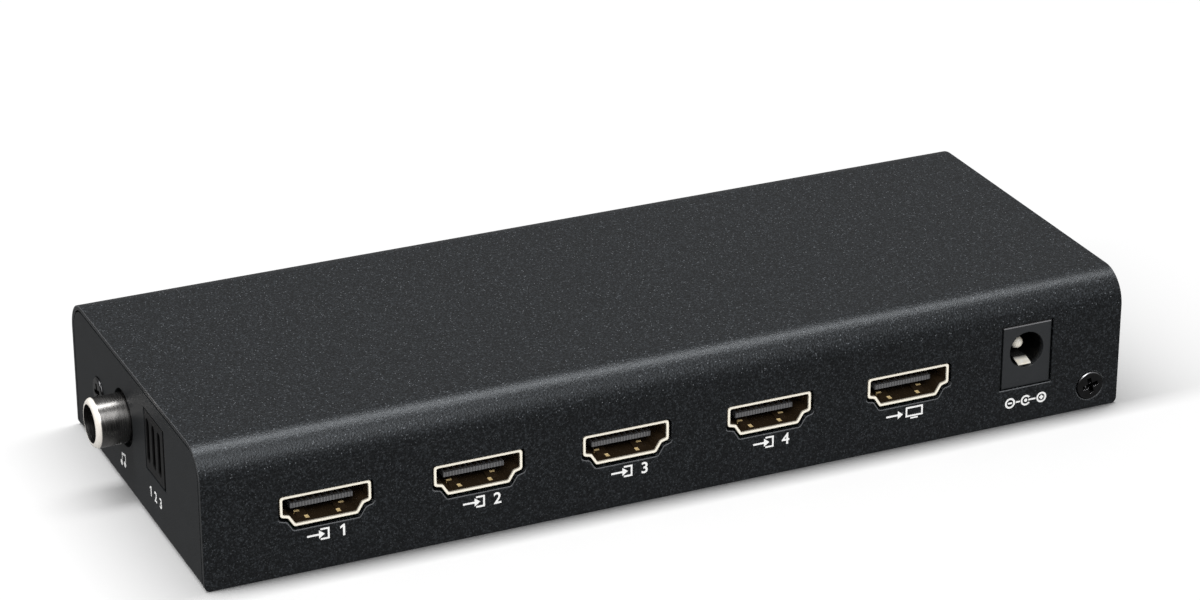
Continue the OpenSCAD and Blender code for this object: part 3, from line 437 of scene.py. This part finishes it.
# Finish of each material slot, and of the nodes that differ from their slot
slot_finishes = {
    "cover_paint": cover_paint(),
    "chassis_paint": chassis_paint(),
    "screw_black": screw_black("screw_black", "Y", REAR_Y, highlight_grey=0.6),
    "board": moulded("board_mask", BOARD_GREEN, BOARD_GREEN_LIGHT, 0.35),
    "steel": plated("steel", grey(0.52), grey(0.46), 0.3, grain=0.3 * MM),
    "gold_plate": socket_plate(),
    "tongue_plastic": tongue_plastic(),
    "jack_plastic": jack_plastic(),
    "nickel": plated("nickel", NICKEL, NICKEL_WORN, 0.11, grain=0.35 * MM),
    "black_plastic": moulded("black_plastic", grey(0.012), grey(0.015), 0.5, specular=0.35),
    "lever_plastic": moulded("lever_plastic", grey(0.008), grey(0.011), 0.5, specular=0.3),
    "button_plastic": moulded("button_plastic", grey(0.013), grey(0.016), 0.35),
    "light_lens": moulded("light_lens", grey(0.006), grey(0.010), 0.12),
    "receiver_plastic": moulded("receiver_plastic", FILTER_BLACK, FILTER_BLACK_LIGHT, 0.15),
    "chip_plastic": moulded("chip_plastic", grey(0.012), grey(0.016), 0.55),
    "can_metal": plated("can_metal", grey(0.58), grey(0.5), 0.32, grain=0.3 * MM),
}
own_finishes = {
    "audio_jack_barrel": barrel_plate(),
    "audio_jack_screw": screw_black("end_screw", "X", AUDIO_END_X, highlight_grey=0.1),
    "selector_housing": slotted_plastic(),
    "receiver_shield": plated("shield_tin", SHIELD_TIN, SHIELD_TIN_WORN, 0.25, grain=0.3 * MM,
                              metallic=0.35),
    "dc_jack_spring": contact_metal("dc_spring", "dc_jack_spring", 0.9 * MM),
    "dc_jack_pin": contact_metal("dc_pin", "dc_jack_pin", 0.7 * MM),
}
for subpart in frame["record"]["subparts"]:
    node, slot = subpart["node"], subpart["material_slot"]
    materials = frame["nodes"][node].data.materials
    materials.clear()
    materials.append(own_finishes.get(node, slot_finishes[slot]))


# Printed legends: plain numbers and generic signs, drawn in mm and a little proud of a wall

INK = print_ink()
INK_HALF = 0.02  # of the ink's thickness
INK_LIFT = 0.012  # of the ink's middle off the wall
CAP = 2.0  # height of a figure or letter
LINE = 0.32
DASH_HALF = 0.15
ARROW_HEAD = 0.95
ARROW_HALF = 0.72
CIRCLE_POINTS = 40
UP = Vector((0, 0, 1))

# What is to the right on each wall, and the place of a point along it and up it
WALLS = {
    "rear": (Vector((-1, 0, 0)), lambda along, up: Vector((along * MM, REAR_Y, up * MM))),
    "front": (Vector((1, 0, 0)), lambda along, up: Vector((along * MM, FRONT_Y, up * MM))),
    "end": (Vector((0, 1, 0)), lambda along, up: Vector((AUDIO_END_X, along * MM, up * MM))),
}


def circle(x, y, r, first=0.0, last=360.0):
    """Points of a circle or an arc, its angles in degrees."""
    sweep = last - first
    count = max(4, round(CIRCLE_POINTS * sweep / 360))
    steps = count if sweep == 360 else count - 1
    turns = [math.radians(first + sweep * i / steps) for i in range(count)]
    return [(x + r * math.cos(turn), y + r * math.sin(turn)) for turn in turns]


def ring(x, y, r):
    """Two loops of a drawn circle."""
    return [circle(x, y, r), circle(x, y, r - LINE)]


def arc(x, y, r, first, last):
    """Loop of a drawn arc."""
    return circle(x, y, r, first, last) + circle(x, y, r - LINE, first, last)[::-1]


def bar(left, low, right, high):
    """Loop of a rectangle."""
    return [(left, low), (right, low), (right, high), (left, high)]


def dash(left, right):
    """Loop of a level stroke."""
    return bar(left, -DASH_HALF, right, DASH_HALF)


def plus(x, y, reach):
    """Loop of a plus sign."""
    half = LINE / 2
    quarter = [(half, half), (half, reach), (-half, reach)]
    turned = []
    for _ in range(4):
        turned += quarter
        quarter = [(-v, u) for u, v in quarter]
    return [(x + u, y + v) for u, v in turned]


def arrow(left, right):
    """Loop of a level arrow to the right."""
    shaft, neck = LINE / 2, right - ARROW_HEAD
    return [(left, -shaft), (neck, -shaft), (neck, -ARROW_HALF), (right, 0), (neck, ARROW_HALF),
            (neck, shaft), (left, shaft)]


FIGURE_ONE = [(0.05, -1), (0.4, -1), (0.4, 1), (0.15, 1), (-0.4, 0.62), (-0.4, 0.28), (0.05, 0.52)]
OPEN_SOCKET = [(0, -1), (1.5, -1), (1.5, 1), (0, 1), (0, 0.7), (1.2, 0.7), (1.2, -0.7), (0, -0.7)]
NOTE_STEMS = [(-0.65, -0.1), (-0.4, -0.1), (-0.4, 0.75), (1.05, 1.05), (1.05, 0.1), (1.3, 0.1),
              (1.3, 1.5), (-0.65, 1.15)]
INTO_SOCKET = [arrow(-2.2, 0.7), OPEN_SOCKET]
OUT_TO_SCREEN = [arrow(-3.6, -0.5), bar(0, -0.7, 3.2, 1.1), bar(0.3, -0.4, 2.9, 0.8),
                 bar(0.9, -1.1, 2.3, -0.85)]
CENTRE_POSITIVE = [*ring(-3, 0, 0.95), dash(-3.4, -2.6), dash(-1.9, -1.1),
                   arc(0, 0, 0.95, 35, 325), circle(0, 0, 0.3), dash(0.5, 1.9),
                   plus(3, 0, 0.4), *ring(3, 0, 0.95)]
REMOTE_WAVES = [circle(0, 0, 0.3)] + [arc(0, 0, r, -50, 50) for r in (1.0, 1.6, 2.2)]
MUSIC_NOTE = [circle(-0.9, -0.8, 0.5), circle(0.8, -0.5, 0.5), NOTE_STEMS]


def flat_curve(loops):
    """Filled curve of closed loops, inner ones being holes."""
    curve = bpy.data.curves.new("sign", "CURVE")
    curve.dimensions = "2D"
    curve.fill_mode = "BOTH"
    for loop in loops:
        spline = curve.splines.new("POLY")
        spline.points.add(len(loop) - 1)
        for point, (x, y) in zip(spline.points, loop):
            point.co = (x, y, 0, 1)
        spline.use_cyclic_u = True
    return curve


def letters(text):
    """Curve of figures or letters, a little bolder and wider set than the font's own."""
    curve = bpy.data.curves.new("figures", "FONT")
    curve.body = text
    curve.size = CAP
    curve.offset = 0.03
    curve.space_character = 1.08
    return curve


def as_mesh(curve, shift, height=None):
    """The curve as a thin mesh, centred on the origin, brought to a height and moved along."""
    curve.extrude = INK_HALF
    holder = bpy.data.objects.new(curve.name, curve)
    mesh = bpy.data.meshes.new_from_object(holder)
    bpy.data.objects.remove(holder)
    low = [min(v.co[axis] for v in mesh.vertices) for axis in (0, 1)]
    high = [max(v.co[axis] for v in mesh.vertices) for axis in (0, 1)]
    scale = height / (high[1] - low[1]) if height else 1.0
    middle = Vector(((low[0] + high[0]) / 2, (low[1] + high[1]) / 2, 0))
    mesh.transform(Matrix.Translation((shift, 0, 0)) @ Matrix.Diagonal((scale, scale, 1, 1))
                   @ Matrix.Translation(-middle))
    return mesh


def sign(loops, shift=0.0):
    """Mark of drawn loops."""
    return as_mesh(flat_curve(loops), shift)


def figure(text, shift=0.0):
    """Mark of figures or letters, with a plain drawn 1."""
    if text == "1":
        return sign([FIGURE_ONE], shift)
    return as_mesh(letters(text), shift, CAP)


def legend(name, wall, along, up, marks, scale=1.0):
    """Prints marks on a wall, with their middle at a place given in mm."""
    right, place = WALLS[wall]
    out = right.cross(UP)
    joined = bmesh.new()
    for mark in marks:
        joined.from_mesh(mark)
        bpy.data.meshes.remove(mark)
    turn = Matrix((right, UP, out)).transposed().to_4x4()
    size = Matrix.Diagonal((scale * MM, scale * MM, MM, 1))
    joined.transform(Matrix.Translation(place(along, up) + out * INK_LIFT * MM) @ turn @ size)
    mesh = bpy.data.meshes.new(name)
    joined.to_mesh(mesh)
    joined.free()
    mesh.materials.append(INK)
    piece = bpy.data.objects.new(name, mesh)
    bpy.context.scene.collection.objects.link(piece)
    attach(piece, "case")


REAR_LINE = 6.0
FRONT_LINE = 5.0
for text, along in (("1", 61.2), ("2", 35.2), ("3", 9.7), ("4", -15.5)):
    legend("legend_in_" + text, "rear", along, REAR_LINE,
           [sign(INTO_SOCKET, -1.1), figure(text, 2.9)])
legend("legend_out", "rear", -40.3, REAR_LINE, [sign(OUT_TO_SCREEN)])
legend("legend_dc", "rear", -63.3, 3.9, [sign(CENTRE_POSITIVE)])
for text, along in (("4", -17.3), ("3", -7.1), ("2", 2.7), ("1", 12.4)):
    legend("legend_light_" + text, "front", along, FRONT_LINE, [figure(text)])
legend("legend_power", "front", -28.55, 5.4, [figure("ON")])
legend("legend_receiver", "front", -48.4, FRONT_LINE, [sign(REMOTE_WAVES)])
legend("legend_select", "front", 33.35, FRONT_LINE,
       [figure("1", -1.9), sign([dash(-0.5, 0.5)], -0.3), figure("4", 1.7)])
legend("legend_audio", "end", -7.1, 4.9, [sign(MUSIC_NOTE)])
legend("legend_selector", "end", 9.5, 5.8,
       [figure("1", -2.75), figure("2"), figure("3", 2.75)], scale=0.9)


# Camera: the photo's lower box, whose sockets face the camera

IMAGE_WIDTH = 1200
FOCAL_PIXELS = 3843.1
SENSOR = 36.0
CAMERA_AT = Vector((239.65, 528.16, 283.26)) * MM
CAMERA_LOOKS = Vector((-0.37647, -0.82962, -0.41232))

camera_data = bpy.data.cameras.new("camera")
camera_data.sensor_width = SENSOR
camera_data.lens = SENSOR * FOCAL_PIXELS / IMAGE_WIDTH
camera_data.clip_start = 0.01
camera_data.clip_end = 50
camera = bpy.data.objects.new("camera", camera_data)
camera.location = CAMERA_AT
camera.rotation_euler = CAMERA_LOOKS.to_track_quat("-Z", "Y").to_euler()
bpy.context.scene.collection.objects.link(camera)
bpy.context.scene.camera = camera


# Floor and light

FLOOR_HALF = 6.0
FLOOR_WHITE = (0.86, 0.86, 0.86, 1)
FLOOR_DULL = (0.85, 0.85, 0.85, 1)
WORLD_WHITE = (1, 1, 1, 1)
WORLD_STRENGTH = 0.24


def make_floor():
    """White floor that the black faces don't mirror."""
    finish = Finish("floor", FLOOR_WHITE, 0.7, specular=0.2)
    finish.drive("Base Color", finish.mottle(0.4, FLOOR_WHITE, FLOOR_DULL))
    mesh = bpy.data.meshes.new("floor")
    corners = [(x, y, 0) for x, y in bar(-FLOOR_HALF, -FLOOR_HALF, FLOOR_HALF, FLOOR_HALF)]
    mesh.from_pydata(corners, [], [(0, 1, 2, 3)])
    mesh.materials.append(finish.material)
    floor = bpy.data.objects.new("floor", mesh)
    bpy.context.scene.collection.objects.link(floor)
    floor.visible_glossy = False
    return floor


def softbox(name, place, aim, size, power):
    """Area lamp that looks from a place to an aim."""
    light = bpy.data.lights.new(name, "AREA")
    light.shape = "RECTANGLE"
    light.size, light.size_y = size
    light.energy = power
    lamp = bpy.data.objects.new(name, light)
    lamp.location = place
    lamp.rotation_euler = (Vector(aim) - Vector(place)).to_track_quat("-Z", "Y").to_euler()
    bpy.context.scene.collection.objects.link(lamp)
    return lamp


def flag_off(lamp, piece):
    """Keeps a lamp's light off one piece, as a studio flag does."""
    shaded = bpy.data.collections.new(lamp.name + "_flag")
    shaded.objects.link(piece)
    shaded.collection_objects[0].light_linking.link_state = "EXCLUDE"
    lamp.light_linking.receiver_collection = shaded


floor = make_floor()
world = bpy.data.worlds.new("studio")
world.use_nodes = True
background = world.node_tree.nodes["Background"]
background.inputs["Color"].default_value = WORLD_WHITE
background.inputs["Strength"].default_value = WORLD_STRENGTH
bpy.context.scene.world = world

# The top box hangs on the controls' side, so that the floor at the sockets' foot is in shadow.
# The front box lights the sockets and leaves that shadow alone.
softbox("top_box", place=(1.2, -0.26, 2.1), aim=(1.2, 0, 0), size=(5.2, 0.56), power=86)
front_box = softbox("front_box", place=(0.25, 1.4, 1.5), aim=(0, 0, 0), size=(1.2, 1.3), power=29)
flag_off(front_box, floor)
bpy.context.scene.view_settings.view_transform = "Standard"
